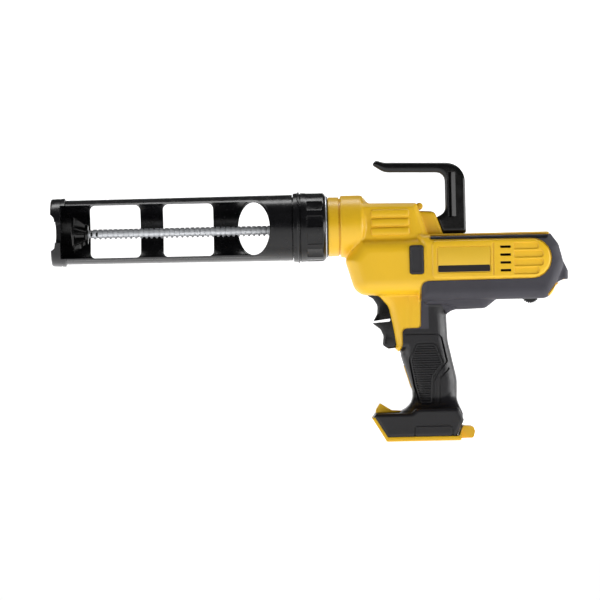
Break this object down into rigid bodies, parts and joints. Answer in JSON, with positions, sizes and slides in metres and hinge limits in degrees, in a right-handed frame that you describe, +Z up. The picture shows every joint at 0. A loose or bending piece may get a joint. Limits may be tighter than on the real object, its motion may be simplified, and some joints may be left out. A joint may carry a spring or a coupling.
{
  "type": "caulking gun",
  "caption": "Battery-powered caulking gun with an open turning cartridge tray, rack push rod with pull hook, trigger grip and wide battery foot.",
  "frame": {"origin": "centre of the plunger's front face, on the push rod's axis, with the rod fully forward", "axes": "+X along the rod from the nozzle end to the pull hook, +Y to the tool's right side, +Z up"},
  "size_m": [0.4752, 0.072, 0.2579],
  "materials": {
    "yellow_shell": "satin moulded",
    "soft_grip": "matte moulded",
    "black_plastic": "satin moulded",
    "black_gloss": "glossy",
    "black_tray": "satin paint",
    "plated_steel": "zinc plated",
    "dark_steel": "blackened",
    "cast_aluminium": "as cast",
    "bronze": "plain",
    "copper": "plain",
    "board_green": "lacquered"
  },
  "bodies": {
    "housing": {"battery_contact_1": "copper", "battery_contact_2": "copper", "battery_foot": "yellow_shell", "button_spring": "plated_steel", "button_spring_seat": "plated_steel", "control_board": "board_green", "dial_cradle": "black_plastic", "foot_tab": "yellow_shell", "front_rod_bush": "bronze", "gear_frame": "cast_aluminium", "gearhead_case": "dark_steel", "housing_screw_1": "dark_steel", "housing_screw_2": "dark_steel", "housing_screw_3": "dark_steel", "housing_screw_4": "dark_steel", "housing_screw_5": "dark_steel", "housing_screw_6": "dark_steel", "left_housing": "yellow_shell", "left_label_plate": "yellow_shell", "left_overmould": "soft_grip", "motor_can": "dark_steel", "motor_end_bell": "black_plastic", "nose_spigot": "cast_aluminium", "output_bush": "bronze", "rear_rod_bush": "bronze", "right_housing": "yellow_shell", "right_label_plate": "yellow_shell", "right_overmould": "soft_grip", "shaft_bush_1": "bronze", "shaft_bush_2": "bronze", "shaft_bush_3": "bronze", "shaft_bush_4": "bronze", "terminal_block": "black_plastic", "trigger_spring": "plated_steel", "trigger_switch": "black_plastic"},
    "tray": {"cartridge_tray": "black_tray", "tray_nose_cap": "black_plastic", "tray_swivel_ring": "plated_steel"},
    "collar": {"tray_locking_collar": "black_plastic"},
    "rod": {"push_rod": "plated_steel", "plunger": "black_plastic", "plunger_pin": "plated_steel", "pull_hook": "black_gloss", "hook_screw": "dark_steel"},
    "pinion": {"rack_pinion": "plated_steel"},
    "lay": {"lay_shaft": "plated_steel"},
    "output": {"output_shaft": "plated_steel"},
    "rotor": {"motor_rotor": "copper"},
    "trigger": {"trigger": "black_gloss"},
    "button": {"release_button": "black_plastic"},
    "dial": {"speed_dial": "black_plastic"}
  },
  "joints": [
    {"name": "rod_slide", "type": "slide", "parent": "housing", "child": "rod", "axis": [1, 0, 0], "range_m": [0, 0.215]},
    {"name": "pinion_spin", "type": "hinge", "parent": "housing", "child": "pinion", "pos_m": [0.29, 0, -0.0145], "axis": [0, 1, 0], "continuous": true},
    {"name": "lay_spin", "type": "hinge", "parent": "housing", "child": "lay", "pos_m": [0.29, 0, -0.036], "axis": [0, 1, 0], "continuous": true},
    {"name": "output_spin", "type": "hinge", "parent": "housing", "child": "output", "pos_m": [0.29, 0, -0.036], "axis": [1, 0, 0], "continuous": true},
    {"name": "rotor_spin", "type": "hinge", "parent": "housing", "child": "rotor", "pos_m": [0.35, 0, -0.036], "axis": [1, 0, 0], "continuous": true},
    {"name": "tray_turn", "type": "hinge", "parent": "housing", "child": "tray", "pos_m": [0.1, 0, 0.0023], "axis": [1, 0, 0], "continuous": true},
    {"name": "collar_turn", "type": "hinge", "parent": "housing", "child": "collar", "pos_m": [0.22, 0, 0.0023], "axis": [1, 0, 0], "range_deg": [0, 90]},
    {"name": "trigger_pull", "type": "slide", "parent": "housing", "child": "trigger", "axis": [1, 0, 0], "range_m": [0, 0.006], "stiffness_N_per_m": 400, "springref_m": -0.004},
    {"name": "button_push", "type": "slide", "parent": "housing", "child": "button", "axis": [0, 1, 0], "range_m": [0, 0.003], "stiffness_N_per_m": 500, "springref_m": -0.003},
    {"name": "dial_turn", "type": "hinge", "parent": "housing", "child": "dial", "pos_m": [0.4203, 0, -0.0634], "axis": [0, 1, 0], "range_deg": [-130, 130]}
  ],
  "couplings": [
    {"joint": "pinion_spin", "follows": "rod_slide", "rad_per_m": 95.238},
    {"joint": "lay_spin", "follows": "rod_slide", "rad_per_m": -246.03},
    {"joint": "output_spin", "follows": "rod_slide", "rad_per_m": -492.06}
  ]
}
